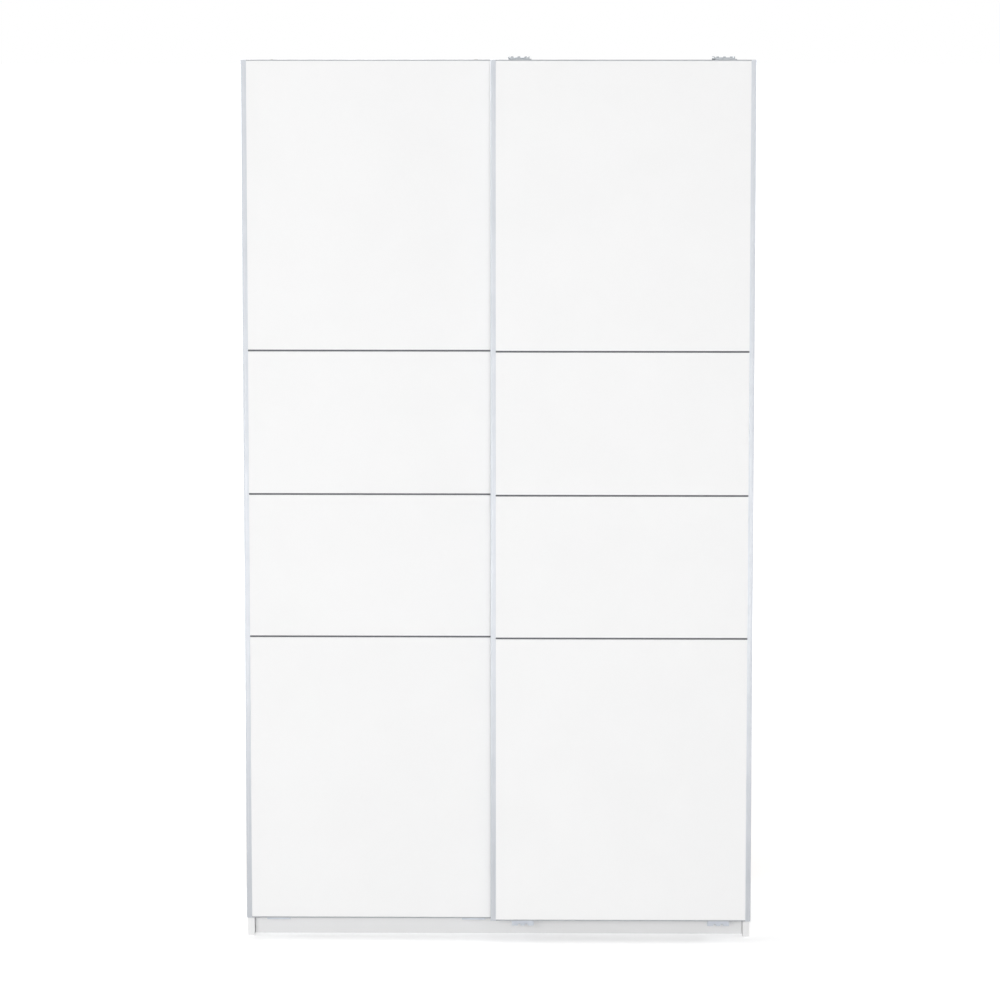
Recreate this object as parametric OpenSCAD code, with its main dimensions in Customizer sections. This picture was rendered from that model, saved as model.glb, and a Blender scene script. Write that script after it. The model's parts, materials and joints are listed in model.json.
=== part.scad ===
// Sliding-door wardrobe: a melamine cabinet with two top-hung doors that overlay its front.
// Millimetres. +X is to the right, -Y is the front and +Z is up. The origin is on the floor,
// at the centre of the footprint. The outer door closes the right half, the inner door the left.

/* [Cabinet] */
// Width over the side panels and over the two closed doors
cabinet_w = 1208; // [1000:1:1600]
// Depth from the face of the outer door to the back
overall_d = 640; // [560:1:740]
// Height of the door tops above the floor
door_top = 2100; // [1750:1:2350]
// Thickness of the melamine boards
board_t = 16; // [14:0.5:22]
// Thickness of the hardboard back
back_t = 3; // [2.5:0.5:5]
// Height of the plinth
plinth_h = 64; // [56:1:76]
// Plinth behind the front edges of the sides
plinth_setback = 29; // [28:1:60]
// Gap at each end of the plinth
plinth_gap = 1; // [0.5:0.5:3]
// Upper face of the top panel below the door tops
top_drop = 34; // [30:1:50]

/* [Interior] */
// Upper face of the hat shelves above the floor
hat_shelf_z = 1716; // [1500:1:1720]
// Shelf fronts behind the cabinet front
shelf_setback = 22; // [10:1:60]
// Gap at each end of a loose shelf
shelf_play = 1; // [0.5:0.25:2]
// Diameter of the shelf pins
pin_d = 5; // [4:0.5:6]
// Length of a pin in the board, and out of it
pin_reach = 7; // [6:0.5:7]
// Spacing of the shelf pin holes
pin_pitch = 32; // [25:1:40]
// Hanging rail centre below the hat shelf
rail_drop = 45; // [35:1:80]
// Height of the oval hanging rail
rail_h = 30; // [25:1:35]
// Width of the oval hanging rail
rail_w = 15; // [12:1:18]
// Wall of the hanging rail
rail_wall = 1.2; // [0.8:0.1:2]

/* [Doors] */
// Height of the doors
door_h = 2050; // [1700:1:2290]
// Overlap of the closed doors
door_overlap = 36; // [20:1:60]
// Front face of the outer door to front face of the inner door
door_pitch = 27; // [26:0.5:32]
// Front face of the outer door to the cabinet front
carcass_setback = 57; // [56:0.5:66]
// Thickness of the door boards
door_board_t = 16; // [14:0.5:16]
// Width of an upright aluminium profile
stile_w = 12.5; // [10:0.5:20]
// Wall of an upright profile
stile_wall = 1.3; // [1:0.1:1.6]
// Crown of a profile's front face
stile_crown = 0.6; // [0.3:0.1:1]
// Visible height of the strips on the top and bottom edges
edge_t = 3; // [2:0.5:5]
// Gap between two door boards, filled by a joint strip
strip_gap = 4.4; // [3:0.1:8]
// Face of a joint strip behind the board faces
strip_recess = 2.5; // [1:0.5:5]

/* [Running gear] */
// Trolley centre from the edge of its door
trolley_inset = 71; // [50:1:120]
// Trolley arm to the left of its bracket's centre
arm_shift = 4.5; // [0:0.5:6]
// Width of a trolley bracket
trolley_w = 50; // [44:1:60]
// Thickness of the trolley plates
trolley_t = 3; // [2:0.5:3]
// Rolling radius of a wheel
roll_r = 11; // [9:0.5:11.5]
// Depth of a wheel's groove
groove_depth = 2.5; // [1.5:0.5:2.5]
// Width of a wheel
wheel_w = 9; // [8:0.5:10]
// Diameter of a wheel axle
axle_d = 5; // [4:0.5:6]
// Gap between a wheel's groove and its rail
running_gap = 0.3; // [0.2:0.1:0.5]
// Inner door's rail behind the outer door's face
inner_rail_d = 62.5; // [62:0.5:66]
// Outer door's rail behind the outer door's face
outer_rail_d = 98; // [94:1:110]
// Height of a rail above the track's base
rail_rise = 8; // [6:0.5:8]
// Guide centre from the edge of its door
guide_inset = 77; // [60:1:120]
// Width of the outer door's guides
outer_guide_w = 52; // [44:1:60]
// Width of the inner door's guides
inner_guide_w = 56; // [44:1:60]
// Outer door's guides below the door
outer_guide_drop = 13; // [12:0.5:16]
// Inner door's guides below the door
inner_guide_drop = 3.5; // [3:0.5:4.5]
// Diameter of a guide pin
guide_pin_d = 8; // [6:0.5:8]

/* [Hidden] */
$fn = 48;
EPS = 0.01;

// Radial clearance of a screw, pin or dowel in its hole
fit = 0.05;
// Clearance of a sliding or clamped fit, on each side
slip = 0.1;

nail_head_t = 0.8;
nail_head_r = 3;
nail_pitch = 160;
nail_inset = 8;

half_w = cabinet_w / 2;
bay_half_w = half_w - board_t;
inner_w = cabinet_w - 2 * board_t;
front_y = depth_y(carcass_setback);
rear_y = depth_y(overall_d - nail_head_t - back_t);
carcass_d = rear_y - front_y;
side_h = door_top - top_drop;
top_z = side_h - board_t;
floor_z = plinth_h + board_t;
partition_half = board_t / 2;
bay_w = bay_half_w - partition_half;
shelf_w = bay_w - 2 * shelf_play;
shelf_d = carcass_d - shelf_setback;
shelf_count = 3;
shelf_step = (hat_shelf_z - floor_z) / (shelf_count + 1);

// Cam, bolt and dowel joints between the sides and the top and bottom panels
joint_d = [60, carcass_d - 60];
dowel_offset = 40;
cam_r = 7.4;
cam_h = 12;
cam_pocket_r = 7.5;
cam_pocket_h = 12.5;
cam_inset = 24;
bolt_r = 3.4;
bolt_thread_r = 2.45;
bolt_in_side = 11;
dowel_r = 3.95;
dowel_in_side = 10;
dowel_in_panel = 20;

pin_front = 60;
pin_back = shelf_d - 60;
hole_rows = [-1, 0, 1];

part_screw_d = [140, carcass_d - 140];
part_screw_head_r = 4.8;
part_screw_head_h = 3;
part_screw_r = 3.4;
part_screw_thread_r = 2.4;
part_screw_in = 36;

block = 20;
block_l = 44;
small_screw_r = 1.75;
small_head_r = 3.5;
small_head_t = 2;
flush_head_r = 3;
small_screw_in = 12;

socket_t = 3;
socket_rim = 10;
socket_l = 56;
socket_screw = 22;

door_w = (cabinet_w + door_overlap) / 2;
door_bottom = door_top - door_h;
stile_t = door_board_t + 2 * stile_wall + 2 * slip;
stile_round = 2.5;
door_board_d = stile_wall + slip;
door_back = door_board_d + door_board_t;
door_board_x = stile_wall + slip;
door_board_w = door_w - 2 * door_board_x;
outer_x = half_w - door_w;
inner_x = -half_w;
// A tall board is as high as two short ones and the gap between them
short_board_h = (door_h - 2 * edge_t - 5 * strip_gap) / 6;
tall_board_h = 2 * short_board_h + strip_gap;
board_h = [tall_board_h, short_board_h, short_board_h, tall_board_h];
board_low = [
    door_bottom + edge_t,
    door_bottom + edge_t + tall_board_h + strip_gap,
    door_bottom + edge_t + tall_board_h + short_board_h + 2 * strip_gap,
    door_top - edge_t - tall_board_h
];
board_high = [for (k = [0:3]) board_low[k] + board_h[k]];
joint_z = [for (k = [0:2]) board_high[k] + strip_gap / 2];
tongue_t = 2;
tongue_l = 8;
stile_screws_z = [for (k = [0.5, 2.5, 3.5, 5.5]) door_bottom + door_h * k / 6];

track_t = 2;
track_d = [carcass_setback - 1.5, outer_rail_d + 15];
bead_r = 2.2;
groove_r = bead_r + running_gap;
web_t = 2.4;
bead_top = side_h + track_t + rail_rise;
axle_z = bead_top + running_gap + roll_r;
flange_r = roll_r + groove_depth;
stop_l = 20;
stop_w = 12;
pad_t = 3;
bracket_h = 95;
boss_r = 7;
rivet_head_r = 4.5;
rivet_head_t = 1.5;
axle_play = 0.2;
arm_z = door_top + 2;
arm_front_d = 4;
arm_drop_d = outer_rail_d + wheel_w / 2 + 3.5;
arm_end_d = arm_drop_d + trolley_t;
arm_screw_pitch = 16;
arm_screw_d = 11;
arm_head_r = 3.2;
arm_head_t = 2.5;
arm_screw_r = 2;
arm_screw_in = 18;
plate_screw_x = 15;
plate_screw_z = [30, 75];

groove_w = guide_pin_d + 0.6;
guide_groove_d = [carcass_setback + 7, carcass_setback + 20.6];
bottom_track_h = 9;
bottom_track_w = 27.2;
groove_h = 7;
guide_t = 3.5;
guide_up = 42;
guide_arm_t = 5;
inner_arm_t = inner_guide_drop;
guide_front_d = 8;
guide_wall = 3;
guide_screw_x = 16;
guide_screw_z = 26;
notch_w = 6.5;
notch_pitch = 17;
notch_l = 24;
foot_front_d = 1.5;

wall_bracket_x = 400;
wall_bracket_w = 30;
wall_bracket_t = 2;
wall_bracket_h = 26;
wall_bracket_l = 34;
wall_hole_r = 3.25;
wall_hole_z = 16;

// Y of a plane that lies d behind the outer door's front face
function depth_y(d) = d - overall_d / 2;
function shelf_top(k) = floor_z + k * shelf_step;
function trolley_x() = [trolley_inset, door_w - trolley_inset];
function guide_x() = [guide_inset, door_w - guide_inset];
function plate_screws() = [
    for (x = trolley_x())
        for (p = [[-plate_screw_x, plate_screw_z[0]], [plate_screw_x, plate_screw_z[0]],
                  [0, plate_screw_z[1]]])
            [x + p[0], door_top - p[1]]
];
function guide_screws() = [
    for (x = guide_x()) for (s = [-1, 1]) [x + s * guide_screw_x, door_bottom + guide_screw_z]
];
function arm_screws() = [
    for (x = trolley_x()) for (k = [-1, 0, 1]) x - arm_shift + k * arm_screw_pitch
];
function top_screw_x() = [for (k = [-2.5:1:2.5]) k * cabinet_w / 6];

// Turns a shape drawn along +Z so that it points along +X or -X
module point_x(s) rotate([0, 90 * s, 0]) children();
// Turns a shape drawn along +Z so that it points along +Y or -Y
module point_y(s) rotate([-90 * s, 0, 0]) children();
// A box from one corner to the opposite one
module span(low, high) translate(low) cube([high.x - low.x, high.y - low.y, high.z - low.z]);

// A screw with a flat head that stands on z = 0
module pan_screw(r, length, head_r, head_t) {
    cylinder(r = head_r, h = head_t);
    translate([0, 0, -length]) cylinder(r = r, h = length + EPS);
}

// A screw whose countersunk head is flush with z = 0
module flush_screw(r, length, head_r) {
    translate([0, 0, r - head_r]) cylinder(r1 = r, r2 = head_r, h = head_r - r);
    translate([0, 0, -length]) cylinder(r = r, h = length);
}

// ---- Cabinet boards ----

// Pin holes of the shelves in one bay, into the board that lies on the side s of the bay
module pin_holes(bay, s) {
    wall_x = bay < 0 ? (s < 0 ? -bay_half_w : -partition_half)
                     : (s < 0 ? partition_half : bay_half_w);
    tops = bay < 0 ? [hat_shelf_z]
                   : [hat_shelf_z, for (k = [1:shelf_count]) shelf_top(k)];
    for (top = tops, row = hole_rows, d = [pin_front, pin_back])
        translate([wall_x, front_y + shelf_setback + d, pin_z(top) + row * pin_pitch])
            point_x(s) translate([0, 0, -EPS]) cylinder(r = pin_d / 2 + fit, h = pin_reach + 0.5);
}

function pin_z(top) = top - board_t - pin_d / 2;

// Holes in a side for the cam bolts and dowels, drawn for the right side
module side_joint_holes() {
    for (z = [plinth_h + board_t / 2, top_z + board_t / 2], d = joint_d) {
        translate([bay_half_w, front_y + d, z])
            point_x(1) translate([0, 0, -EPS]) cylinder(r = bolt_thread_r + fit, h = bolt_in_side + EPS);
        translate([bay_half_w, front_y + d + joint_inward(d) * dowel_offset, z])
            point_x(1) translate([0, 0, -EPS]) cylinder(r = dowel_r + fit, h = dowel_in_side + EPS);
    }
}

// Towards the middle of the board from a joint at depth d
function joint_inward(d) = d < carcass_d / 2 ? 1 : -1;

module socket_screw_holes(s) {
    for (k = [-1, 1])
        translate([s < 0 ? -bay_half_w : -partition_half, rail_y(), rail_z() + k * socket_screw])
            point_x(s) translate([0, 0, -EPS])
                cylinder(r = small_screw_r + fit, h = small_screw_in);
}

function rail_y() = front_y + shelf_setback + shelf_d / 2;
function rail_z() = hat_shelf_z - board_t - rail_drop;

module side_board(s) {
    difference() {
        span([s < 0 ? -half_w : bay_half_w, front_y, 0], [s < 0 ? -bay_half_w : half_w, rear_y, side_h]);
        mirror([s < 0 ? 1 : 0, 0, 0]) side_joint_holes();
        pin_holes(s, s);
        if (s < 0) socket_screw_holes(-1);
        for (p = block_places()) if (p[0] == s) block_side_hole(p);
    }
}

module side_left() {
    color("#f4f4f4") side_board(-1);
}

module side_right() {
    color("#f4f4f4") side_board(1);
}

// Cam pockets, bolt passages and dowel holes in a top or bottom panel, from its lower face
module panel_joint_holes(z) {
    for (s = [-1, 1], d = joint_d) {
        translate([s * (bay_half_w - cam_inset), front_y + d, z - EPS])
            cylinder(r = cam_pocket_r, h = cam_pocket_h + EPS);
        translate([s * (bay_half_w + EPS), front_y + d, z + board_t / 2])
            point_x(-s) cylinder(r = bolt_r + fit, h = cam_inset);
        translate([s * (bay_half_w + EPS), front_y + d + joint_inward(d) * dowel_offset, z + board_t / 2])
            point_x(-s) cylinder(r = dowel_r + fit, h = dowel_in_panel);
    }
}

module top_panel() {
    color("#f4f4f4") difference() {
        span([-bay_half_w, front_y, top_z], [bay_half_w, rear_y, side_h]);
        panel_joint_holes(top_z);
        for (d = part_screw_d) translate([0, front_y + d, side_h]) partition_screw_seat();
        for (x = top_screw_x(), d = top_screw_d())
            translate([x, depth_y(d), side_h - small_screw_in]) cylinder(r = small_screw_r + fit, h = 20);
        for (x = wall_screw_x())
            translate([x, wall_screw_y(), side_h - small_screw_in]) cylinder(r = small_screw_r + fit, h = 20);
    }
}

module bottom_panel() {
    color("#f4f4f4") difference() {
        span([-bay_half_w, front_y, plinth_h], [bay_half_w, rear_y, floor_z]);
        panel_joint_holes(plinth_h);
        for (d = part_screw_d)
            translate([0, front_y + d, plinth_h]) mirror([0, 0, 1]) partition_screw_seat();
        for (x = bottom_screw_x(), d = guide_groove_d)
            translate([x, depth_y(d), plinth_h - EPS]) cylinder(r = small_screw_r + fit, h = small_screw_in);
    }
}

function top_screw_d() = [(inner_rail_d + outer_rail_d) / 2];
function bottom_screw_x() = [for (k = [-2:2]) k * (inner_w - 80) / 4];

// Seat of a partition screw that enters at z = 0 and runs down
module partition_screw_seat() {
    translate([0, 0, -part_screw_head_h]) cylinder(r = part_screw_head_r + fit, h = part_screw_head_h + EPS);
    translate([0, 0, -board_t - EPS]) cylinder(r = part_screw_r + fit, h = board_t);
}

module partition() {
    color("#f4f4f4") difference() {
        span([-partition_half, front_y + 1, floor_z], [partition_half, rear_y, top_z]);
        pin_holes(-1, 1);
        pin_holes(1, -1);
        socket_screw_holes(1);
        for (d = part_screw_d) {
            translate([0, front_y + d, top_z - part_screw_in])
                cylinder(r = part_screw_thread_r + fit, h = part_screw_in + EPS);
            translate([0, front_y + d, floor_z - EPS])
                cylinder(r = part_screw_thread_r + fit, h = part_screw_in + EPS);
        }
    }
}

// ---- Plinth ----

function plinth_y() = front_y + plinth_setback;
function plinth_back_y() = rear_y - 40 - board_t;

// Corner blocks: side of the cabinet (0 at the brace), end (-1 front, 1 back), side of the brace
function block_places() = [
    for (e = [-1, 1]) each [[-1, e, 1], [1, e, -1], [0, e, -1]]
];
function block_x(p) = p[0] == 0 ? p[2] * (partition_half + block / 2)
                                : p[0] * (bay_half_w - block / 2);
function block_y(p) = p[1] < 0 ? plinth_y() + board_t + block / 2 : plinth_back_y() - block / 2;
function block_z() = plinth_h / 2;

// Hole in the board beside a block, for the screw that runs along X
module block_side_hole(p) {
    way = p[0] == 0 ? -p[2] : p[0];
    translate([block_x(p) + way * block / 2, block_y(p), block_z() + 8])
        point_x(way) translate([0, 0, -EPS]) cylinder(r = small_screw_r + fit, h = small_screw_in);
}

// Hole in the plinth, for the screw that runs along Y
module block_plinth_hole(p) {
    translate([block_x(p), block_y(p) + p[1] * block / 2, block_z() - 8])
        point_y(p[1]) translate([0, 0, -EPS]) cylinder(r = small_screw_r + fit, h = small_screw_in);
}

module plinth_board(y, e) {
    difference() {
        span([-bay_half_w + plinth_gap, y, 0], [bay_half_w - plinth_gap, y + board_t, plinth_h]);
        for (p = block_places()) if (p[1] == e) block_plinth_hole(p);
    }
}

module plinth_front() {
    color("#f4f4f4") plinth_board(plinth_y(), -1);
}

module plinth_back() {
    color("#f4f4f4") plinth_board(plinth_back_y(), 1);
}

module plinth_brace() {
    color("#f4f4f4") difference() {
        span([-partition_half, plinth_y() + board_t, 0], [partition_half, plinth_back_y(), plinth_h]);
        for (p = block_places()) if (p[0] == 0) block_side_hole(p);
        for (d = part_screw_d)
            translate([0, front_y + d, plinth_h - 4]) cylinder(r = part_screw_head_r + 1, h = 5);
    }
}

module corner_blocks() {
    color("#d9d9d9") for (p = block_places())
        difference() {
            translate([block_x(p), block_y(p), block_z()]) cube([block, block, block_l], center = true);
            translate([block_x(p) - block, block_y(p), block_z() + 8])
                point_x(1) cylinder(r = small_screw_r + fit, h = 2 * block);
            translate([block_x(p), block_y(p) - block, block_z() - 8])
                point_y(1) cylinder(r = small_screw_r + fit, h = 2 * block);
        }
}

// ---- Shelves and hanging rail ----

module shelf(bay, top) {
    x = bay < 0 ? -bay_half_w + shelf_play : partition_half + shelf_play;
    span([x, front_y + shelf_setback, top - board_t], [x + shelf_w, rear_y, top]);
}

module hat_shelf_left() {
    color("#f4f4f4") shelf(-1, hat_shelf_z);
}

module hat_shelf_right() {
    color("#f4f4f4") shelf(1, hat_shelf_z);
}

module shelf_1() {
    color("#f4f4f4") shelf(1, shelf_top(1));
}

module shelf_2() {
    color("#f4f4f4") shelf(1, shelf_top(2));
}

module shelf_3() {
    color("#f4f4f4") shelf(1, shelf_top(3));
}

// One pin in the board on side s of a bay
module shelf_pin(x, s, top, d) {
    translate([x + s * pin_reach, front_y + shelf_setback + d, pin_z(top)])
        point_x(-s) cylinder(r = pin_d / 2, h = 2 * pin_reach);
}

module shelf_pins() {
    color("#c8ccd0") for (d = [pin_front, pin_back], s = [-1, 1]) {
        shelf_pin(s < 0 ? -bay_half_w : -partition_half, s, hat_shelf_z, d);
        shelf_pin(s < 0 ? partition_half : bay_half_w, s, hat_shelf_z, d);
        for (k = [1:shelf_count])
            shelf_pin(s < 0 ? partition_half : bay_half_w, s, shelf_top(k), d);
    }
}

// Oval outline, standing upright
module oval(w, h) {
    for (k = [-1, 1]) translate([0, k * (h - w) / 2]) circle(d = w);
    square([w, h - w], center = true);
}

module rail_outline(grow) oval(rail_w + 2 * grow, rail_h + 2 * grow);

module along_bay(x0, length) {
    translate([x0, rail_y(), rail_z()]) rotate([90, 0, 90]) linear_extrude(length) children();
}

module hanging_rail() {
    color("#d5d8dc") along_bay(-bay_half_w + socket_t, bay_w - 2 * socket_t) difference() {
        rail_outline(0);
        rail_outline(-rail_wall);
    }
}

// One cup that carries an end of the rail, on the side s of the left bay
module rail_socket(s) {
    wall_x = s < 0 ? -bay_half_w : -partition_half;
    difference() {
        union() {
            along_bay(min(wall_x, wall_x - s * socket_t), socket_t) oval(2 * socket_t + rail_w + 2, socket_l);
            along_bay(min(wall_x, wall_x - s * socket_rim), socket_rim) rail_outline(2);
        }
        along_bay(min(wall_x - s * socket_t, wall_x - s * (socket_rim + 1)), socket_rim + 1 - socket_t)
            rail_outline(slip);
        for (k = [-1, 1])
            translate([wall_x, rail_y(), rail_z() + k * socket_screw])
                point_x(-s) translate([0, 0, -EPS]) cylinder(r = small_screw_r + fit, h = socket_rim);
    }
}

module rail_sockets() {
    color("#d5d8dc") {
        rail_socket(-1);
        rail_socket(1);
    }
}

// ---- Back ----

module back_panel(s) {
    span([s < 0 ? -half_w + 1 : 0.5, rear_y, plinth_h + 2], [s < 0 ? -0.5 : half_w - 1, rear_y + back_t, side_h - 2]);
}

module back_left() {
    color("#e6dfd2") back_panel(-1);
}

module back_right() {
    color("#e6dfd2") back_panel(1);
}

module nail_head(x, z) {
    translate([x, rear_y + back_t, z]) point_y(1) cylinder(r = nail_head_r, h = nail_head_t);
}

module back_nails() {
    rows = floor((side_h - plinth_h - 60) / nail_pitch);
    row_step = (side_h - plinth_h - 60) / rows;
    columns = floor((bay_half_w - 60) / nail_pitch);
    column_step = (bay_half_w - 60) / columns;
    color("#b9bcc0") {
        for (x = [-half_w + nail_inset, -nail_inset / 2 - 1, nail_inset / 2 + 1, half_w - nail_inset], k = [0:rows])
            nail_head(x, plinth_h + 30 + k * row_step);
        for (s = [-1, 1], z = [plinth_h + board_t / 2 + 2, top_z + board_t / 2 - 2], k = [0:columns])
            nail_head(s * (30 + k * column_step), z);
    }
}

// ---- Cabinet fasteners ----

module cam_lock() {
    difference() {
        cylinder(r = cam_r, h = cam_h);
        translate([0, 0, board_t / 2]) point_x(1) cylinder(r = bolt_r + fit, h = 20);
        translate([-cam_r, -0.8, -EPS]) cube([2 * cam_r, 1.6, 1.5]);
    }
}

module cam_locks() {
    color("#b9bcc0") for (s = [-1, 1], z = [plinth_h, top_z], d = joint_d)
        translate([s * (bay_half_w - cam_inset), front_y + d, z]) rotate([0, 0, s > 0 ? 0 : 180]) cam_lock();
}

module cam_bolts() {
    color("#a8acb0") for (s = [-1, 1], z = [plinth_h, top_z], d = joint_d)
        translate([s * bay_half_w, front_y + d, z + board_t / 2]) {
            point_x(s) translate([0, 0, -EPS]) cylinder(r = bolt_thread_r, h = bolt_in_side - 0.5);
            point_x(-s) cylinder(r = bolt_r, h = cam_inset - 4);
        }
}

module dowels() {
    color("#cfae7c") for (s = [-1, 1], z = [plinth_h, top_z], d = joint_d)
        translate([s * (bay_half_w + dowel_in_side - 0.5), front_y + d + joint_inward(d) * dowel_offset,
                   z + board_t / 2])
            point_x(-s) cylinder(r = dowel_r, h = dowel_in_side + dowel_in_panel - 1.5);
}

// A screw into the end of the partition, head at z = 0, running down
module partition_screw() {
    difference() {
        translate([0, 0, -part_screw_head_h]) cylinder(r = part_screw_head_r, h = part_screw_head_h);
        translate([0, 0, -2]) cylinder(r = 2.3, h = 3, $fn = 6);
    }
    translate([0, 0, -board_t]) cylinder(r = part_screw_r, h = board_t - part_screw_head_h + EPS);
    translate([0, 0, -board_t - part_screw_in + 1])
        cylinder(r = part_screw_thread_r, h = part_screw_in);
}

module partition_screws() {
    color("#b9bcc0") for (d = part_screw_d) {
        translate([0, front_y + d, side_h]) partition_screw();
        translate([0, front_y + d, plinth_h]) mirror([0, 0, 1]) partition_screw();
    }
}

module carcass_screws() {
    color("#b9bcc0") {
        for (p = block_places()) {
            way = p[0] == 0 ? -p[2] : p[0];
            translate([block_x(p) - way * block / 2, block_y(p), block_z() + 8])
                point_x(-way) pan_screw(small_screw_r, block + small_screw_in - 1, small_head_r, small_head_t);
            translate([block_x(p), block_y(p) - p[1] * block / 2, block_z() - 8])
                point_y(-p[1]) pan_screw(small_screw_r, block + small_screw_in - 1, small_head_r, small_head_t);
        }
        for (s = [-1, 1], k = [-1, 1])
            translate([(s < 0 ? -bay_half_w : -partition_half) - s * socket_t, rail_y(),
                       rail_z() + k * socket_screw])
                point_x(-s) pan_screw(small_screw_r, socket_t + small_screw_in - 2, small_head_r, small_head_t);
        for (x = wall_screw_x())
            translate([x, wall_screw_y(), side_h + wall_bracket_t])
                pan_screw(small_screw_r, wall_bracket_t + small_screw_in - 1, small_head_r, small_head_t);
    }
}

// ---- Wall brackets ----

function wall_screw_x() = [for (s = [-1, 1], k = [-1, 1]) s * wall_bracket_x + k * 8];
function wall_screw_y() = depth_y(overall_d) - wall_bracket_l / 2 - 4;

module wall_brackets() {
    y = depth_y(overall_d);
    color("#c8ccd0") for (s = [-1, 1])
        difference() {
            translate([s * wall_bracket_x, 0, 0]) {
                span([-wall_bracket_w / 2, y - wall_bracket_l, side_h],
                     [wall_bracket_w / 2, y, side_h + wall_bracket_t]);
                span([-wall_bracket_w / 2, y - wall_bracket_t, side_h],
                     [wall_bracket_w / 2, y, side_h + wall_bracket_h]);
            }
            translate([s * wall_bracket_x, y - 10, side_h + wall_hole_z])
                point_y(1) cylinder(r = wall_hole_r, h = 20);
            for (x = wall_screw_x())
                translate([x, wall_screw_y(), side_h - 1]) cylinder(r = small_screw_r + fit, h = 10);
        }
}

// ---- Tracks ----

// Track section: X is the depth behind the outer door's face, Y is the height above the top panel
module top_track_section() {
    translate([track_d[0], 0]) square([track_d[1] - track_d[0], track_t]);
    translate([track_d[0], -board_t]) square([carcass_setback - track_d[0], board_t + EPS]);
    translate([track_d[1] - 2, 0]) square([2, 5]);
    for (d = [inner_rail_d, outer_rail_d]) {
        translate([d - web_t / 2, 0]) square([web_t, track_t + rail_rise - bead_r]);
        translate([d, track_t + rail_rise - bead_r]) circle(r = bead_r);
    }
}

// Draws a section along the whole width; section X becomes the depth and section Y the height
module across(x0, length, z) {
    translate([x0, depth_y(0), z]) rotate([90, 0, 90]) linear_extrude(length) children();
}

module top_track() {
    color("#d9dce0") difference() {
        across(-half_w, cabinet_w, side_h) top_track_section();
        for (x = top_screw_x(), d = top_screw_d())
            translate([x, depth_y(d), side_h + track_t]) screw_seat();
    }
}

// Seat of a countersunk screw through a track that enters at z = 0 and runs down
module screw_seat() {
    translate([0, 0, small_screw_r - flush_head_r - fit])
        cylinder(r1 = small_screw_r, r2 = flush_head_r + fit, h = flush_head_r - small_screw_r + fit + EPS);
    translate([0, 0, -20]) cylinder(r = small_screw_r + fit, h = 20);
}

module bottom_track_section() {
    difference() {
        translate([carcass_setback, -bottom_track_h]) square([bottom_track_w, bottom_track_h]);
        for (d = guide_groove_d)
            translate([d - groove_w / 2, -bottom_track_h - EPS]) square([groove_w, groove_h + EPS]);
    }
}

module bottom_track() {
    color("#d9dce0") difference() {
        across(-bay_half_w + 1, inner_w - 2, plinth_h) bottom_track_section();
        for (x = bottom_screw_x(), d = guide_groove_d)
            translate([x, depth_y(d), plinth_h - bottom_track_h + groove_h]) mirror([0, 0, 1]) screw_seat();
    }
}

module track_screws() {
    color("#a8acb0") {
        for (x = top_screw_x(), d = top_screw_d())
            translate([x, depth_y(d), side_h + track_t])
                flush_screw(small_screw_r, track_t + small_screw_in - 1, flush_head_r);
        for (x = bottom_screw_x(), d = guide_groove_d)
            translate([x, depth_y(d), plinth_h - bottom_track_h + groove_h])
                mirror([0, 0, 1]) flush_screw(small_screw_r, track_t + small_screw_in - 1, flush_head_r);
    }
}

// Inner ends of the two stops of a rail whose wheels rest at the given door-frame positions
function stop_x(door_x, xs) = [
    door_x + xs[0] - flange_r - running_gap - pad_t,
    door_x + xs[1] + flange_r + running_gap + pad_t
];
function outer_wheel_x() = [for (x = trolley_x()) x - arm_shift];

// Closed and open, a door's wheels reach the same two places mirrored, so each rail has two stops
function outer_stops() = [-cabinet_w + door_w, 0] + stop_x(outer_x, outer_wheel_x());
function inner_stops() = [0, cabinet_w - door_w] + stop_x(inner_x, trolley_x());

module track_stop(x, s, d) {
    difference() {
        translate([x + s * stop_l / 2, depth_y(d), side_h + track_t + axle_rise() / 2])
            cube([stop_l, stop_w, axle_rise()], center = true);
        across(-half_w - 1, cabinet_w + 2, side_h) offset_rail(d);
    }
}

function axle_rise() = axle_z - side_h - track_t + 4;

// The rail at depth d, grown by the clamping clearance
module offset_rail(d) {
    translate([d - web_t / 2 - slip, 0]) square([web_t + 2 * slip, track_t + rail_rise - bead_r]);
    translate([d, track_t + rail_rise - bead_r]) circle(r = bead_r + slip);
}

module stop_pad(x, s, d) {
    translate([x - s * pad_t / 2, depth_y(d), axle_z - 1]) cube([pad_t, stop_w - 2, 8], center = true);
}

module track_stops() {
    color("#4a4d50") for (k = [0, 1]) {
        track_stop(outer_stops()[k], 2 * k - 1, outer_rail_d);
        track_stop(inner_stops()[k], 2 * k - 1, inner_rail_d);
    }
}

module stop_pads() {
    color("#2b2b2b") for (k = [0, 1]) {
        stop_pad(outer_stops()[k], 2 * k - 1, outer_rail_d);
        stop_pad(inner_stops()[k], 2 * k - 1, inner_rail_d);
    }
}

// ---- Doors ----

// Door parts are drawn from the door's lower left front corner, X across it and Y its depth
module place_outer() translate([outer_x, depth_y(0), 0]) children();
module place_inner() translate([inner_x, depth_y(door_pitch), 0]) children();

module stile_screw_holes(r) {
    for (x = [[0, 1], [door_w, -1]], z = stile_screws_z)
        translate([x[0], door_board_d + door_board_t / 2, z])
            point_x(x[1]) cylinder(r = r, h = stile_wall + slip + small_screw_in + 1);
}

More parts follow.
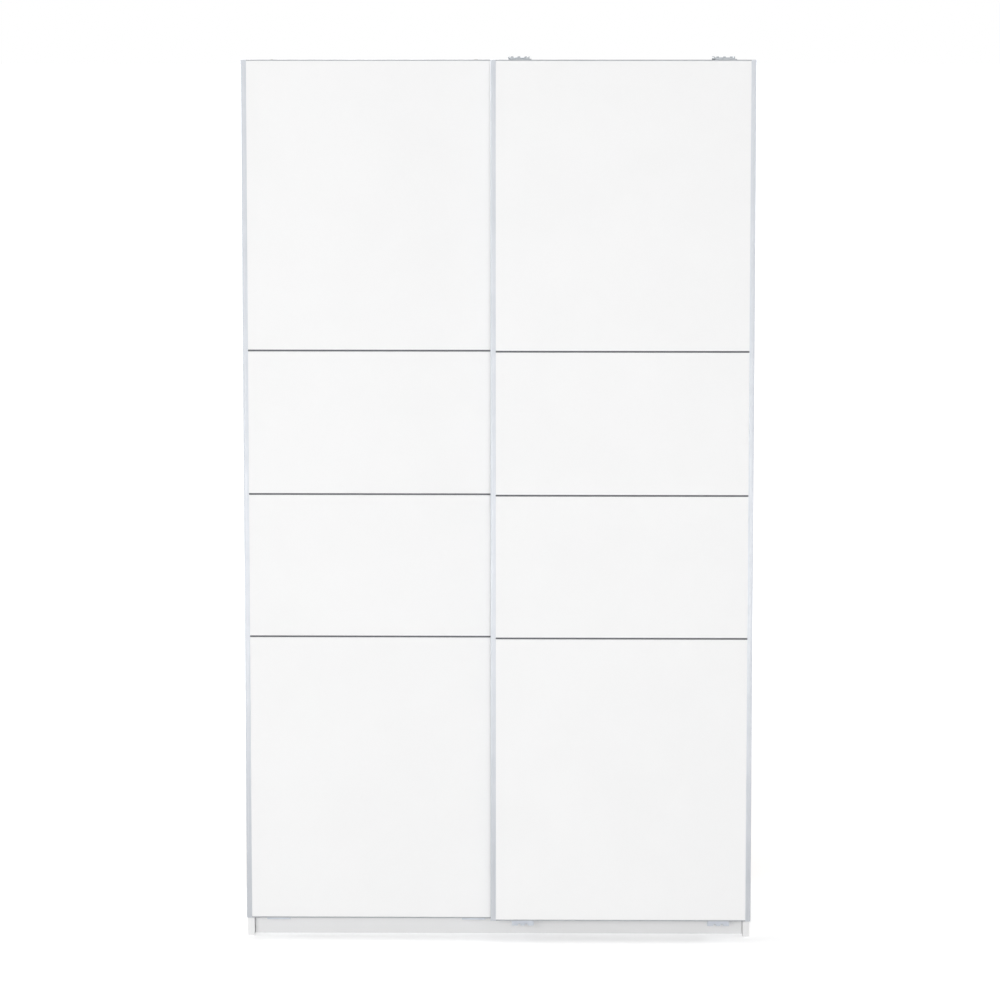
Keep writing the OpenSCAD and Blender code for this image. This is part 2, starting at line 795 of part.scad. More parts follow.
// Board k of a door, counted from the bottom, grooved for the tongues of the strips
module door_board(k, outer) {
    groove_y = door_board_d + (door_board_t - tongue_t) / 2 - slip;
    difference() {
        span([door_board_x, door_board_d, board_low[k]],
             [door_board_x + door_board_w, door_back, board_high[k]]);
        for (z = [board_low[k] - EPS, board_high[k] - tongue_l - slip])
            translate([0, groove_y, z]) cube([door_w, tongue_t + 2 * slip, tongue_l + slip + EPS]);
        stile_screw_holes(small_screw_r + fit);
        if (k == 3) for (p = plate_screws()) door_screw_hole(p);
        if (k == 0) for (p = guide_screws()) door_screw_hole(p);
        if (k == 3 && outer)
            for (x = arm_screws())
                translate([x, arm_screw_d, door_top - arm_screw_in])
                    cylinder(r = arm_screw_r + fit, h = arm_screw_in + EPS);
    }
}

module door_screw_hole(p) {
    translate([p[0], door_back + EPS, p[1]]) point_y(-1) cylinder(r = small_screw_r + fit, h = small_screw_in);
}

module outer_board_1() {
    color("#f5f5f5") place_outer() door_board(0, true);
}

module outer_board_2() {
    color("#f5f5f5") place_outer() door_board(1, true);
}

module outer_board_3() {
    color("#f5f5f5") place_outer() door_board(2, true);
}

module outer_board_4() {
    color("#f5f5f5") place_outer() door_board(3, true);
}

module inner_board_1() {
    color("#f5f5f5") place_inner() door_board(0, false);
}

module inner_board_2() {
    color("#f5f5f5") place_inner() door_board(1, false);
}

module inner_board_3() {
    color("#f5f5f5") place_inner() door_board(2, false);
}

module inner_board_4() {
    color("#f5f5f5") place_inner() door_board(3, false);
}

// Three strips that join the boards: a body in the gap and a tongue into each board
module joint_strips() {
    tongue_y = door_board_d + (door_board_t - tongue_t) / 2;
    color("#9fa3a8") for (z = joint_z) {
        span([door_board_x, door_board_d + strip_recess, z - strip_gap / 2],
             [door_board_x + door_board_w, door_back - 1, z + strip_gap / 2]);
        span([door_board_x + 0.5, tongue_y, z - strip_gap / 2 - tongue_l],
             [door_board_x + door_board_w - 0.5, tongue_y + tongue_t, z + strip_gap / 2 + tongue_l]);
    }
}

module outer_strips() place_outer() joint_strips();
module inner_strips() place_inner() joint_strips();

// Strips that cap the top and bottom edges: a cap between the uprights and a tongue into the board
module edge_strips(outer) {
    tongue_y = door_board_d + (door_board_t - tongue_t) / 2;
    color("#c9cdd3") difference() {
        for (p = [[door_bottom, door_bottom, door_bottom + edge_t],
                  [door_top - edge_t, door_top - edge_t - tongue_l, door_top - edge_t]]) {
            span([door_board_x, door_board_d, p[0]], [door_board_x + door_board_w, door_back, p[0] + edge_t]);
            span([door_board_x + 0.5, tongue_y, p[1]],
                 [door_board_x + door_board_w - 0.5, tongue_y + tongue_t, p[1] + tongue_l + edge_t]);
        }
        if (outer)
            for (x = arm_screws())
                translate([x, arm_screw_d, door_top - arm_screw_in])
                    cylinder(r = arm_screw_r + fit, h = arm_screw_in + 1);
    }
}

module outer_edge_strips() place_outer() edge_strips(true);
module inner_edge_strips() place_inner() edge_strips(false);

// Section of the left upright: a channel round the board edges, with a crowned front
module stile_section() {
    crown_r = (stile_w * stile_w / 4 + stile_crown * stile_crown) / (2 * stile_crown);
    difference() {
        union() {
            translate([stile_round, stile_crown]) square([stile_w - stile_round, stile_t - stile_crown]);
            translate([0, stile_round]) square([stile_w, stile_t - 2 * stile_round]);
            translate([stile_round, stile_t - stile_round]) circle(r = stile_round);
            intersection() {
                translate([stile_w / 2, crown_r]) circle(r = crown_r, $fn = 180);
                union() {
                    translate([stile_round, 0]) square([stile_w - stile_round, stile_round]);
                    translate([stile_round, stile_round]) circle(r = stile_round);
                }
            }
        }
        translate([stile_wall, stile_wall]) square([stile_w, door_board_t + 2 * slip]);
    }
}

module stile() {
    color("#c9cdd3") difference() {
        translate([0, 0, door_bottom]) linear_extrude(door_h) stile_section();
        for (z = stile_screws_z)
            translate([0, door_board_d + door_board_t / 2, z])
                point_x(-1) stile_screw_seat();
    }
}

// Countersink of a screw that runs along -Z from z = 0, through the profile's wall
module stile_screw_seat() {
    translate([0, 0, small_screw_r - flush_head_r - fit])
        cylinder(r1 = small_screw_r, r2 = flush_head_r + fit, h = flush_head_r - small_screw_r + fit + EPS);
    translate([0, 0, -stile_wall - 1]) cylinder(r = small_screw_r + fit, h = stile_wall + 1);
}

module outer_stile_left() place_outer() stile();
module inner_stile_left() place_inner() stile();
module outer_stile_right() place_outer() translate([door_w, 0, 0]) mirror([1, 0, 0]) stile();
module inner_stile_right() place_inner() translate([door_w, 0, 0]) mirror([1, 0, 0]) stile();

// Screws of one door: uprights to boards, brackets and guides to boards
module door_screws(plate, guide) {
    for (x = [[0, -1], [door_w, 1]], z = stile_screws_z)
        translate([x[0], door_board_d + door_board_t / 2, z])
            point_x(x[1]) flush_screw(small_screw_r, small_screw_in, flush_head_r);
    for (p = plate_screws())
        translate([p[0], door_back + plate, p[1]])
            point_y(1) pan_screw(small_screw_r, plate + small_screw_in - 1, small_head_r, small_head_t);
    for (p = guide_screws())
        translate([p[0], door_back + guide, p[1]])
            point_y(1) pan_screw(small_screw_r, guide + small_screw_in - 1, small_head_r, small_head_t);
}

module outer_door_screws() {
    color("#8d9195") place_outer() {
        door_screws(trolley_t, guide_t);
        for (x = arm_screws())
            translate([x, arm_screw_d, arm_z + trolley_t]) difference() {
                pan_screw(arm_screw_r, trolley_t + arm_z - door_top + arm_screw_in - 1, arm_head_r, arm_head_t);
                translate([0, 0, 1]) cylinder(r = 1.6, h = 3, $fn = 6);
            }
    }
}

module inner_door_screws() {
    color("#8d9195") place_inner() door_screws(trolley_t, guide_t);
}

// ---- Trolleys ----

module plate_holes() {
    for (p = plate_screws())
        translate([p[0], door_back - 1, p[1]]) point_y(1) cylinder(r = small_screw_r + fit, h = 10);
}

// Brackets behind the outer door that hook over its top edge
module outer_brackets() {
    color("#b4b8bd") place_outer() difference() {
        for (x = trolley_x()) {
            span([x - trolley_w / 2, door_back, door_top - bracket_h],
                 [x + trolley_w / 2, door_back + trolley_t, arm_z]);
            span([x - trolley_w / 2, arm_front_d, door_top], [x + trolley_w / 2, door_back + EPS, arm_z]);
        }
        plate_holes();
        for (x = arm_screws())
            translate([x, arm_screw_d, door_top - 1]) cylinder(r = arm_screw_r + fit, h = 5);
    }
}

// Arms that reach back over the inner door to the rear rail, and down to the wheels
module outer_trolley_arms() {
    color("#b4b8bd") place_outer() difference() {
        for (x = trolley_x()) translate([x - arm_shift, 0, 0]) {
            span([-trolley_w / 2, arm_front_d, arm_z], [trolley_w / 2, arm_end_d, arm_z + trolley_t]);
            span([-trolley_w / 2, arm_drop_d, axle_z - 11], [trolley_w / 2, arm_end_d, arm_z + EPS]);
            translate([0, arm_drop_d + EPS, axle_z])
                point_y(-1) cylinder(r = boss_r, h = arm_drop_d - outer_rail_d - wheel_w / 2 - axle_play);
            for (s = [-1, 1])
                translate([s * (trolley_w - 2.5) / 2, 0, 0])
                    span([-1.25, arm_front_d + 14, arm_z + trolley_t - EPS], [1.25, arm_end_d, arm_z + trolley_t + 2.5]);
        }
        for (x = arm_screws())
            translate([x, arm_screw_d, arm_z - 1]) cylinder(r = arm_screw_r + fit, h = 10);
        for (x = trolley_x())
            translate([x - arm_shift, arm_drop_d - 10, axle_z]) point_y(1) cylinder(r = axle_d / 2 + fit, h = 20);
    }
}

module inner_trolleys() {
    boss_l = inner_rail_d - wheel_w / 2 - axle_play - door_pitch - door_back;
    color("#b4b8bd") place_inner() difference() {
        for (x = trolley_x()) {
            span([x - trolley_w / 2, door_back, door_top - bracket_h],
                 [x + trolley_w / 2, door_back + trolley_t, door_top - 2]);
            translate([x, door_back, axle_z]) point_y(1) cylinder(r = boss_r, h = boss_l);
        }
        plate_holes();
        for (x = trolley_x())
            translate([x, door_back - 1, axle_z]) point_y(1) cylinder(r = axle_d / 2 + fit, h = 40);
    }
}

// An axle from y = 0 along +Y, with a rivet head at its far end
module axle(length) {
    point_y(1) cylinder(r = axle_d / 2, h = length + EPS);
    translate([0, length, 0]) point_y(1) cylinder(r = rivet_head_r, h = rivet_head_t);
}

module outer_axles() {
    head_d = outer_rail_d - wheel_w / 2 - axle_play;
    color("#a8acb0") place_outer() for (x = trolley_x())
        translate([x - arm_shift, arm_end_d, axle_z]) mirror([0, 1, 0]) axle(arm_end_d - head_d);
}

module inner_axles() {
    head_d = inner_rail_d + wheel_w / 2 + axle_play - door_pitch;
    color("#a8acb0") place_inner() for (x = trolley_x())
        translate([x, door_back, axle_z]) axle(head_d - door_back);
}

// A grooved wheel on a Y axis through the origin
module wheel() {
    color("#e9e6dc") rotate([90, 0, 0]) rotate_extrude($fn = 72) difference() {
        translate([axle_d / 2 + slip, -wheel_w / 2]) square([flange_r - axle_d / 2 - slip, wheel_w]);
        translate([roll_r + groove_r, 0]) circle(r = groove_r);
        translate([roll_r + groove_r, -groove_r]) square([10, 2 * groove_r]);
        for (s = [-1, 1])
            translate([(axle_d + flange_r) / 2 + 0.3, s * wheel_w / 2]) square([4, 2], center = true);
    }
}

module outer_wheel(k) translate([outer_x + outer_wheel_x()[k], depth_y(outer_rail_d), axle_z]) wheel();
module inner_wheel(k) translate([inner_x + trolley_x()[k], depth_y(inner_rail_d), axle_z]) wheel();
module outer_wheel_left() outer_wheel(0);
module outer_wheel_right() outer_wheel(1);
module inner_wheel_left() inner_wheel(0);
module inner_wheel_right() inner_wheel(1);

// ---- Guides ----

function pin_high() = plinth_h - bottom_track_h + groove_h - 0.8;

// Screw holes of the guides, through their upright plates
module guide_holes() {
    for (p = guide_screws())
        translate([p[0], door_back - 1, p[1]]) point_y(1) cylinder(r = small_screw_r + fit, h = 10);
}

// Outer door's guides: a plate behind the door and an arm under the inner door to the rear groove.
// Two slots in the lower edge leave a tongue that gives when the door is hung.
module outer_guides() {
    low = door_bottom - outer_guide_drop;
    pin_y = guide_groove_d[1];
    half = outer_guide_w / 2;
    color("#c4cad2") place_outer() difference() {
        for (x = guide_x()) translate([x, 0, 0]) {
            span([-half, door_back, low], [half, door_back + guide_t, door_bottom + guide_up]);
            span([-half, guide_front_d, low], [half, guide_front_d + guide_wall, door_bottom]);
            span([-half, guide_front_d, low], [half, door_back + 12, low + guide_wall]);
            span([-half, guide_front_d, door_bottom - guide_wall], [half, door_back + EPS, door_bottom]);
            for (s = [-1, 0, 1])
                translate([s * (half - guide_wall / 2), 0, 0])
                    span([-guide_wall / 2, guide_front_d, low], [guide_wall / 2, door_back + EPS, door_bottom]);
            span([-half / 2, door_back + 8, low], [half / 2, pin_y + 4, low + guide_arm_t]);
            translate([0, pin_y, low + EPS]) cylinder(d = guide_pin_d, h = pin_high() - low - EPS);
        }
        guide_holes();
        for (x = guide_x(), s = [-1, 1])
            translate([x + s * notch_pitch / 2, 0, 0]) {
                span([-notch_w / 2, -1, low - 1], [notch_w / 2, notch_l, low + 3]);
                translate([0, notch_l, low + 3]) point_y(-1) cylinder(r = notch_w / 2, h = notch_l + 1);
            }
    }
}

// Inner door's guides: a plate behind the door, a foot under it and an arm to the front groove
module inner_guides() {
    low = door_bottom - inner_guide_drop;
    pin_y = guide_groove_d[0] - door_pitch;
    half = inner_guide_w / 2;
    color("#c4cad2") place_inner() difference() {
        for (x = guide_x()) translate([x, 0, 0]) {
            span([-half, door_back, low], [half, door_back + guide_t, door_bottom + guide_up]);
            span([-half, foot_front_d, low], [half, door_back + EPS, door_bottom]);
            span([-half / 2, door_back, low], [half / 2, pin_y + 4, low + inner_arm_t]);
            translate([0, pin_y, low + EPS]) cylinder(d = guide_pin_d, h = pin_high() - low - EPS);
        }
        guide_holes();
    }
}

// ---- Nodes ----

side_left();
side_right();
top_panel();
bottom_panel();
partition();
plinth_front();
plinth_back();
plinth_brace();
hat_shelf_left();
hat_shelf_right();
shelf_1();
shelf_2();
shelf_3();
back_left();
back_right();
hanging_rail();
rail_sockets();
top_track();
bottom_track();
track_stops();
stop_pads();
wall_brackets();
shelf_pins();
cam_locks();
cam_bolts();
dowels();
partition_screws();
corner_blocks();
carcass_screws();
track_screws();
back_nails();
outer_board_1();
outer_board_2();
outer_board_3();
outer_board_4();
outer_strips();
outer_edge_strips();
outer_stile_left();
outer_stile_right();
outer_brackets();
outer_trolley_arms();
outer_axles();
outer_guides();
outer_door_screws();
inner_board_1();
inner_board_2();
inner_board_3();
inner_board_4();
inner_strips();
inner_edge_strips();
inner_stile_left();
inner_stile_right();
inner_trolleys();
inner_axles();
inner_guides();
inner_door_screws();
outer_wheel_left();
outer_wheel_right();
inner_wheel_left();
inner_wheel_right();
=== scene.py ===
"""Sliding-door wardrobe: finishes, studio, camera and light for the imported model."""

import json
import math

import bpy
from mathutils import Euler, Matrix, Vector


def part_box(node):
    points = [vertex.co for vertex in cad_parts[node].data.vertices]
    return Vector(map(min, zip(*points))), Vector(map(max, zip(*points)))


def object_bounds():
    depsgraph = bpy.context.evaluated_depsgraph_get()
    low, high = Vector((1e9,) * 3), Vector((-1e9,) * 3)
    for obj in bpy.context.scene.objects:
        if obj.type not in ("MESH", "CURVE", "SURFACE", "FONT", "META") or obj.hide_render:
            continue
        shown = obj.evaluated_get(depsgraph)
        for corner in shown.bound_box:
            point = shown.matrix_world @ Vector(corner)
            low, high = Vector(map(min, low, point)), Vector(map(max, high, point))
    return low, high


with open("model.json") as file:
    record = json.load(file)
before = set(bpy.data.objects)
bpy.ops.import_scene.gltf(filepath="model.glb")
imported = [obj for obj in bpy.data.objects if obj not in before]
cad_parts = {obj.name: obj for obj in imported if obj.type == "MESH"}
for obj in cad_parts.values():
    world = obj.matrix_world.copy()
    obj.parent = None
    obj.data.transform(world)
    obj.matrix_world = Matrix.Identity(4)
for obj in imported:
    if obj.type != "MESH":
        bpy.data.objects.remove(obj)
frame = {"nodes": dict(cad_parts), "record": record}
cad_low, cad_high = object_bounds()
MM = 0.001


# ---- Helpers ----


def linear(code):
    """An sRGB hex colour, such as "#F4F4F4", as linear red, green, blue and alpha."""
    parts = [int(code[i : i + 2], 16) / 255 for i in (1, 3, 5)]
    toned = [p / 12.92 if p <= 0.04045 else ((p + 0.055) / 1.055) ** 2.4 for p in parts]
    return (*toned, 1.0)


def add(tree, kind, links=None, **settings):
    """Adds a shader node; links maps an input to a value or to the socket that feeds it."""
    node = tree.nodes.new("ShaderNode" + kind)
    for name, value in settings.items():
        setattr(node, name, value)
    for key, value in (links or {}).items():
        if isinstance(value, bpy.types.NodeSocket):
            tree.links.new(value, node.inputs[key])
        else:
            node.inputs[key].default_value = value
    return node


def new_finish(name, **sockets):
    """A material with one Principled shader, whose even values are set on its own sockets."""
    material = bpy.data.materials.new(name)
    material.use_nodes = True
    tree = material.node_tree
    shader = tree.nodes["Principled BSDF"]
    for key, value in sockets.items():
        shader.inputs[key.replace("_", " ")].default_value = value
    place = add(tree, "TexCoord").outputs["Object"]
    return material, tree, shader, place


def stretched(tree, place, scale):
    """Object coordinates with a scale of their own along each axis."""
    return add(tree, "Mapping", {"Vector": place, "Scale": scale}).outputs["Vector"]


def noise(tree, place, size, detail=2.0, rough=0.5):
    """Noise whose blotches are about this many metres across."""
    links = {"Vector": place, "Scale": 1 / size, "Detail": detail, "Roughness": rough}
    return add(tree, "TexNoise", links).outputs["Fac"]


def ramp(tree, value, low, high, to_low=0.0, to_high=1.0):
    """Moves a value from one range to another, clamped."""
    links = {"Value": value, "From Min": low, "From Max": high}
    links.update({"To Min": to_low, "To Max": to_high})
    return add(tree, "MapRange", links).outputs["Result"]


def between(tree, factor, first, second):
    """Blends two colours, each a hex code or a socket."""
    mix = add(tree, "Mix", {"Factor": factor}, data_type="RGBA")
    for socket, colour in zip((mix.inputs[6], mix.inputs[7]), (first, second)):
        if isinstance(colour, str):
            socket.default_value = linear(colour)
        else:
            tree.links.new(colour, socket)
    return mix.outputs[2]


def arithmetic(tree, operation, first, second):
    return add(tree, "Math", {0: first, 1: second}, operation=operation).outputs["Value"]


def bump(tree, shader, height, strength, depth):
    """Bump on the shader, from a height between 0 and 1 that stands for this depth in metres."""
    links = {"Height": height, "Strength": strength, "Distance": depth}
    tree.links.new(add(tree, "Bump", links).outputs["Normal"], shader.inputs["Normal"])


def colour_and_gloss(tree, shader, colour, roughness):
    tree.links.new(colour, shader.inputs["Base Color"])
    tree.links.new(roughness, shader.inputs["Roughness"])


# ---- Finishes ----


def melamine(name, colour, shade, roughness):
    """White melamine paper pressed on chipboard: satin, with a fine pearl grain.
    The real grain is under 1 mm; it is drawn at 3 mm so that it shows."""
    material, tree, shader, place = new_finish(name, Specular_IOR_Level=0.45)
    pearl = noise(tree, place, 3 * MM, detail=3, rough=0.6)
    cloud = noise(tree, place, 180 * MM, detail=2)
    grain = ramp(tree, pearl, 0.3, 0.7, 0, 0.45)
    drift = ramp(tree, cloud, 0.35, 0.65, 0, 0.4)
    tone = arithmetic(tree, "ADD", grain, drift)
    skin = between(tree, tone, colour, shade)
    gloss = ramp(tree, pearl, 0.3, 0.7, roughness - 0.05, roughness + 0.07)
    colour_and_gloss(tree, shader, skin, gloss)
    bump(tree, shader, pearl, 0.12, 0.08 * MM)
    return material


def hardboard(back_face_y):
    """Hardboard 3 mm thick: white lacquer inside, bare pressed wood fibre on the wall side."""
    material, tree, shader, place = new_finish("lacquered_hardboard", Specular_IOR_Level=0.3)
    fibre = noise(tree, stretched(tree, place, (1, 1, 0.45)), 5 * MM, detail=5, rough=0.7)
    fleck = noise(tree, place, 1.6 * MM, detail=2)
    board = between(tree, ramp(tree, fibre, 0.3, 0.7), "#B08B62", "#8F6B46")
    board = between(tree, ramp(tree, fleck, 0.62, 0.72, 0, 0.5), board, "#5F452C")
    depth = add(tree, "SeparateXYZ", {"Vector": place}).outputs["Y"]
    # Only the outer half of the 3 mm board is bare; the lacquered side faces the bays
    is_back = ramp(tree, depth, back_face_y - 1.4 * MM, back_face_y - 1.2 * MM)
    lacquer = between(tree, ramp(tree, fleck, 0.4, 0.6), "#F1F0ED", "#E9E8E4")
    colour = between(tree, is_back, lacquer, board)
    gloss = ramp(tree, is_back, 0, 1, 0.42, 0.78)
    colour_and_gloss(tree, shader, colour, gloss)
    bump(tree, shader, fibre, 0.25, 0.2 * MM)
    return material


def anodised_aluminium(name, along, light="#E1E4E9", dark="#D5D9DF"):
    """Satin anodised extrusion: soft metal sheen with faint die lines along its length."""
    material, tree, shader, place = new_finish(name, Metallic=1.0, Anisotropic=0.35)
    scale = {"x": (0.004, 1, 1), "z": (1, 1, 0.004)}[along]
    lines = noise(tree, stretched(tree, place, scale), 0.9 * MM, detail=3, rough=0.6)
    patina = noise(tree, place, 60 * MM, detail=3)
    tone = arithmetic(tree, "MULTIPLY", lines, ramp(tree, patina, 0.3, 0.7, 0.8, 1.2))
    colour = between(tree, ramp(tree, tone, 0.3, 0.7), light, dark)
    gloss = ramp(tree, lines, 0.3, 0.7, 0.3, 0.42)
    colour_and_gloss(tree, shader, colour, gloss)
    bump(tree, shader, lines, 0.2, 0.05 * MM)
    return material


def moulded_plastic(name, colour, shade, roughness, grit=1.2 * MM):
    """Injection-moulded plastic: an even colour with fine spark-eroded grit."""
    material, tree, shader, place = new_finish(name, Specular_IOR_Level=0.5)
    fine = noise(tree, place, grit, detail=2)
    flow = noise(tree, place, 14 * MM, detail=2)
    skin = between(tree, ramp(tree, flow, 0.3, 0.7), colour, shade)
    gloss = ramp(tree, fine, 0.3, 0.7, roughness - 0.06, roughness + 0.08)
    colour_and_gloss(tree, shader, skin, gloss)
    bump(tree, shader, fine, 0.2, 0.05 * MM)
    return material


def galvanised_steel():
    """Pressed sheet steel, hot-dip galvanised: crystals of zinc, 4 to 8 mm across."""
    material, tree, shader, place = new_finish("galvanised_steel", Metallic=1.0)
    links = {"Vector": place, "Scale": 1 / (6 * MM)}
    crystal = add(tree, "TexVoronoi", links, feature="F1").outputs["Color"]
    spangle = add(tree, "SeparateColor", {"Color": crystal}).outputs["Red"]
    scratch = noise(tree, stretched(tree, place, (0.05, 1, 1)), 0.7 * MM, detail=2)
    colour = between(tree, spangle, "#C9CDD0", "#B4B9BE")
    gloss = ramp(tree, spangle, 0, 1, 0.28, 0.46)
    colour_and_gloss(tree, shader, colour, gloss)
    bump(tree, shader, scratch, 0.12, 0.03 * MM)
    return material


def zinc_plate():
    """Bright zinc plating on screws, pins and nails, with the haze of barrel plating."""
    material, tree, shader, place = new_finish("zinc_plate", Metallic=1.0)
    haze = noise(tree, place, 1.5 * MM, detail=3)
    colour = between(tree, haze, "#C6CACD", "#A5AAB0")
    gloss = ramp(tree, haze, 0.3, 0.7, 0.22, 0.38)
    colour_and_gloss(tree, shader, colour, gloss)
    bump(tree, shader, haze, 0.1, 0.02 * MM)
    return material


def chromed_tube():
    """Chrome plate on drawn tube: mirror-like, with faint draw lines along the bay."""
    material, tree, shader, place = new_finish("chrome_plate", Metallic=1.0)
    lines = noise(tree, stretched(tree, place, (0.01, 1, 1)), 1.2 * MM, detail=2)
    colour = between(tree, lines, "#E3E5E8", "#D3D6DA")
    gloss = ramp(tree, lines, 0.3, 0.7, 0.06, 0.12)
    colour_and_gloss(tree, shader, colour, gloss)
    return material


def beech():
    """Turned beech dowel: pale wood with short dark rays along the pin."""
    material, tree, shader, place = new_finish("beech", Specular_IOR_Level=0.3)
    rays = noise(tree, stretched(tree, place, (0.12, 1, 1)), 0.9 * MM, detail=3)
    colour = between(tree, ramp(tree, rays, 0.4, 0.65), "#D6B483", "#B98F5D")
    gloss = ramp(tree, rays, 0.3, 0.7, 0.5, 0.65)
    colour_and_gloss(tree, shader, colour, gloss)
    return material


def buffer_rubber():
    """Black rubber pad with a dull, slightly dusty skin."""
    material, tree, shader, place = new_finish("buffer_rubber", Specular_IOR_Level=0.35)
    dust = noise(tree, place, 2.5 * MM, detail=3)
    colour = between(tree, ramp(tree, dust, 0.45, 0.75), "#1E1E1F", "#37373A")
    gloss = ramp(tree, dust, 0.3, 0.7, 0.6, 0.8)
    colour_and_gloss(tree, shader, colour, gloss)
    return material


finishes = {
    "white_melamine": melamine("cabinet_melamine", "#F6F6F6", "#F3F3F3", 0.42),
    "door_melamine": melamine("door_melamine", "#F6F6F6", "#F3F3F3", 0.4),
    "hardboard": hardboard(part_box("back_left")[1][1]),
    "anodised_aluminium": anodised_aluminium("anodised_upright", "z"),
    "dark_strip": moulded_plastic("joint_strip_plastic", "#6E7074", "#66686C", 0.5),
    "galvanised_steel": galvanised_steel(),
    "zinc_fasteners": zinc_plate(),
    "chromed_steel": chromed_tube(),
    "grey_plastic": moulded_plastic("light_grey_nylon", "#D0D5DD", "#C8CDD6", 0.42),
    "black_plastic": moulded_plastic("black_abs", "#26272A", "#1E1F21", 0.4),
    "white_plastic": moulded_plastic("white_abs", "#EDEDEC", "#E6E6E5", 0.4),
    "nylon": moulded_plastic("natural_nylon", "#E9E6DC", "#DFDBCF", 0.35),
    "buffer_rubber": buffer_rubber(),
    "beech": beech(),
}
track_finish = anodised_aluminium("anodised_track", "x")
# The edge strips are the same anodised aluminium as the uprights; their darker colours are
# painted shade, standing in for the shade on these thin strips along the doors' top and bottom
# edges
edge_painted_shade_finish = anodised_aluminium("anodised_edge_strip_painted_shade", "x", "#C3C5C9", "#B4B7BB")
slots = {part["node"]: part["material_slot"] for part in frame["record"]["subparts"]}


def paint(node, material):
    if not node.material_slots:
        node.data.materials.append(material)
    for place in node.material_slots:
        place.material = material


own_finish = {
    "top_track": track_finish,
    "outer_edge_strips": edge_painted_shade_finish,
    "inner_edge_strips": edge_painted_shade_finish,
}
for name, node in frame["nodes"].items():
    paint(node, own_finish.get(name, finishes[slots[name]]))


# ---- Studio ----


AMBIENT = 0.34
FLOOR_SIDE = 400
# Strength of the floor's own glow, near the wardrobe and far from it. It stays low near by, so
# that the contact shadow shows, and the far floor turns to open white paper.
FLOOR_LIFT = (0.48, 1.0)
MIRROR_LIFT = (0.1, 0.42)
# Distances from the wardrobe, in metres, over which each glow rises
FLOOR_RISE = (1.6, 4.5)
MIRROR_RISE = (0.8, 4.0)


def background_ray(tree):
    """1 for rays that show the background: from the camera, and off or through shiny pieces."""
    path = add(tree, "LightPath")
    camera_ray = path.outputs["Is Camera Ray"]
    glossy_ray = path.outputs["Is Glossy Ray"]
    shown = arithmetic(tree, "MAXIMUM", camera_ray, glossy_ray)
    return arithmetic(tree, "MAXIMUM", shown, path.outputs["Is Transmission Ray"])


def studio_floor():
    """A white floor that keeps the wardrobe's soft contact shadow."""
    bpy.ops.mesh.primitive_plane_add(size=FLOOR_SIDE)
    floor = bpy.context.object
    floor.name = "studio_floor"
    material = bpy.data.materials.new("white_paper_floor")
    material.use_nodes = True
    tree = material.node_tree
    tree.nodes.clear()
    paper = add(tree, "BsdfDiffuse", {"Color": linear("#F2F2F2")})
    path = add(tree, "LightPath")
    place = add(tree, "TexCoord").outputs["Object"]
    reach = add(tree, "VectorMath", {0: place}, operation="LENGTH").outputs["Value"]
    bare = ramp(tree, reach, *FLOOR_RISE, *FLOOR_LIFT)
    mirrored = ramp(tree, reach, *MIRROR_RISE, *MIRROR_LIFT)
    lift = arithmetic(
        tree,
        "ADD",
        arithmetic(tree, "MULTIPLY", path.outputs["Is Camera Ray"], bare),
        arithmetic(tree, "MULTIPLY", path.outputs["Is Glossy Ray"], mirrored),
    )
    glow = add(tree, "Emission", {"Color": (1, 1, 1, 1), "Strength": lift})
    both = add(tree, "AddShader", {0: paper.outputs["BSDF"], 1: glow.outputs["Emission"]})
    add(tree, "OutputMaterial", {"Surface": both.outputs["Shader"]})
    floor.data.materials.append(material)


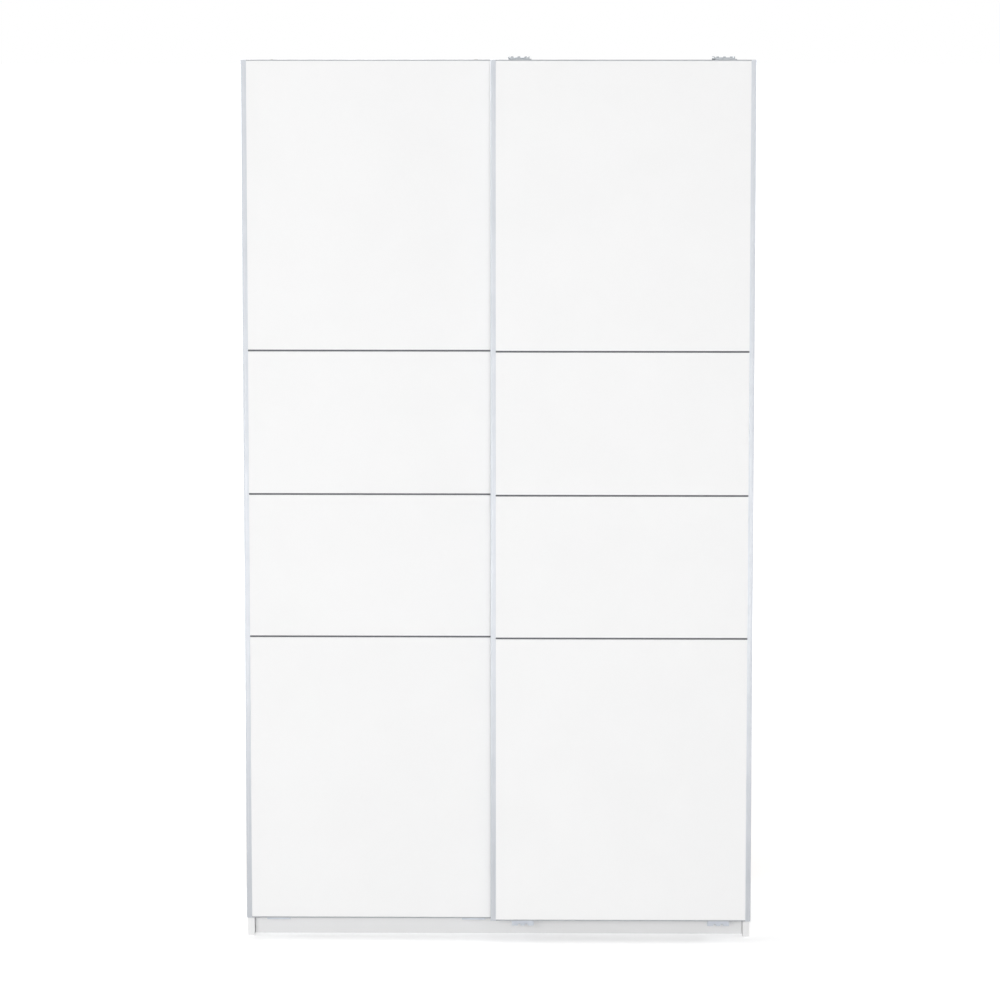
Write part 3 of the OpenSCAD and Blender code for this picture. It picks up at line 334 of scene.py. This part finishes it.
def studio_world():
    """Even white light, and a white background to the camera and in reflections."""
    world = bpy.data.worlds.new("studio_world")
    bpy.context.scene.world = world
    world.use_nodes = True
    tree = world.node_tree
    tree.nodes.clear()
    ambient = add(tree, "Background", {"Color": (1, 1, 1, 1), "Strength": AMBIENT})
    white = add(tree, "Background", {"Color": (1, 1, 1, 1), "Strength": 1.0})
    links = {0: background_ray(tree), 1: ambient.outputs[0], 2: white.outputs[0]}
    mix = add(tree, "MixShader", links)
    add(tree, "OutputWorld", {"Surface": mix.outputs["Shader"]})


def soft_box(name, place, aim, width, height, power):
    lamp = bpy.data.lights.new(name, "AREA")
    lamp.shape = "RECTANGLE"
    lamp.size = width
    lamp.size_y = height
    lamp.energy = power
    box = bpy.data.objects.new(name, lamp)
    bpy.context.collection.objects.link(box)
    box.location = place
    box.rotation_euler = (Vector(aim) - Vector(place)).to_track_quat("-Z", "Y").to_euler()
    return box


# Each soft box: where it stands, what it aims at, width and height in metres, power in watts
SOFT_BOXES = {
    "key_box": ((-0.7, -8.0, 1.4), (0, -0.3, 1.0), 4.5, 2.4, 322),
    "left_box": ((-6.0, -1.0, 3.0), (0, 0, 1.0), 3.0, 3.0, 70),
    "right_box": ((6.0, 0.0, 3.4), (0, 0, 1.0), 3.0, 3.0, 90),
    "rear_box": ((-1.5, 6.0, 3.4), (0, 0.3, 1.1), 3.0, 2.0, 110),
}
studio_world()
studio_floor()
boxes = {name: soft_box(name, *spec) for name, spec in SOFT_BOXES.items()}
# The key stands by the camera, so its mirror image would burn out the uprights
boxes["key_box"].visible_glossy = False


# ---- Camera ----

# A long lens, well in front of the doors and a little above their top edge
LENS_MM = 145.28
SENSOR_MM = 36
FROM_DOORS = 9.4755
ABOVE_DOORS = 0.0915
SIDEWAYS = 0.1291
LOOK_DOWN = math.radians(6.780)
LOOK_LEFT = math.radians(0.753)
door_face_y = cad_low[1]
door_top_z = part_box("outer_stile_left")[1][2]

camera_data = bpy.data.cameras.new("front_camera")
camera_data.sensor_width = SENSOR_MM
camera_data.lens = LENS_MM
camera_data.clip_start = 0.1
camera_data.clip_end = 200
camera = bpy.data.objects.new("front_camera", camera_data)
bpy.context.collection.objects.link(camera)
camera.location = (SIDEWAYS, door_face_y - FROM_DOORS, door_top_z + ABOVE_DOORS)
camera.rotation_euler = Euler((math.pi / 2 - LOOK_DOWN, 0, LOOK_LEFT))
bpy.context.scene.camera = camera
bpy.context.scene.view_settings.view_transform = "Standard"
